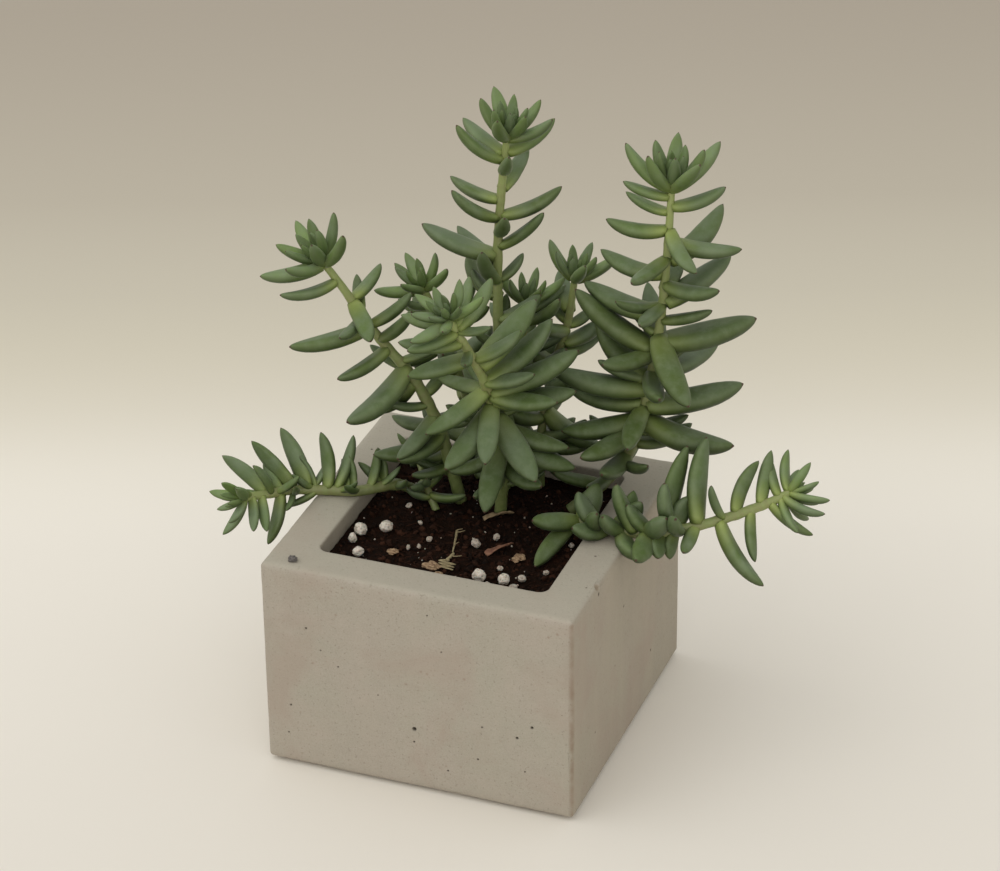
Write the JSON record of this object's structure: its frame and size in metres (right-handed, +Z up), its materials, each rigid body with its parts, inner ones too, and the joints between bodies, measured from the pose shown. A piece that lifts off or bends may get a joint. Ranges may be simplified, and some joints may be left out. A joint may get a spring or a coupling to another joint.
{
  "type": "planter box",
  "caption": "Small square cast-concrete planter box with rounded edges and a drain hole, planted with a branching blue-green stonecrop in potting mix.",
  "frame": {"origin": "centre of the base pad's underside, on the surface that the planter stands on", "axes": "+X along the front to the right, +Y to the back, +Z up"},
  "size_m": [0.1835, 0.103, 0.1982],
  "materials": {
    "concrete": "matte, fine cast grain with small air holes",
    "cork": "matte cork",
    "mesh": "matte moulded mesh",
    "clay": "matte expanded clay",
    "grit": "matte",
    "soil": "damp, crumbly and fibrous",
    "perlite": "matte, pitted",
    "bark": "rough",
    "dry_matter": "dry and matte",
    "stem": "satin",
    "leaf": "waxy bloom over satin"
  },
  "bodies": {
    "planter": {"planter_shell": "concrete", "base_pad": "cork", "drain_mesh": "mesh", "drainage_balls": "clay", "rim_crumb": "grit"},
    "planting": {"root_ball": "soil", "perlite_grains": "perlite", "bark_chips": "bark", "dry_rootlets": "dry_matter", "dry_leaves": "dry_matter", "tall_stem": "stem", "tall_leaves": "leaf", "right_stem": "stem", "right_leaves": "leaf", "left_stem": "stem", "left_leaves": "leaf", "front_stem": "stem", "front_leaves": "leaf", "back_stem": "stem", "back_leaves": "leaf", "middle_stem": "stem", "middle_leaves": "leaf", "rear_stem": "stem", "rear_leaves": "leaf", "basal_stem": "stem", "basal_leaves": "leaf", "left_trailer_stem": "stem", "left_trailer_leaves": "leaf", "right_trailer_stem": "stem", "right_trailer_leaves": "leaf"}
  },
  "joints": [
    {"name": "planting_lift", "type": "slide", "parent": "planter", "child": "planting", "axis": [0, 0, 1], "range_m": [0, 0.06]}
  ]
}
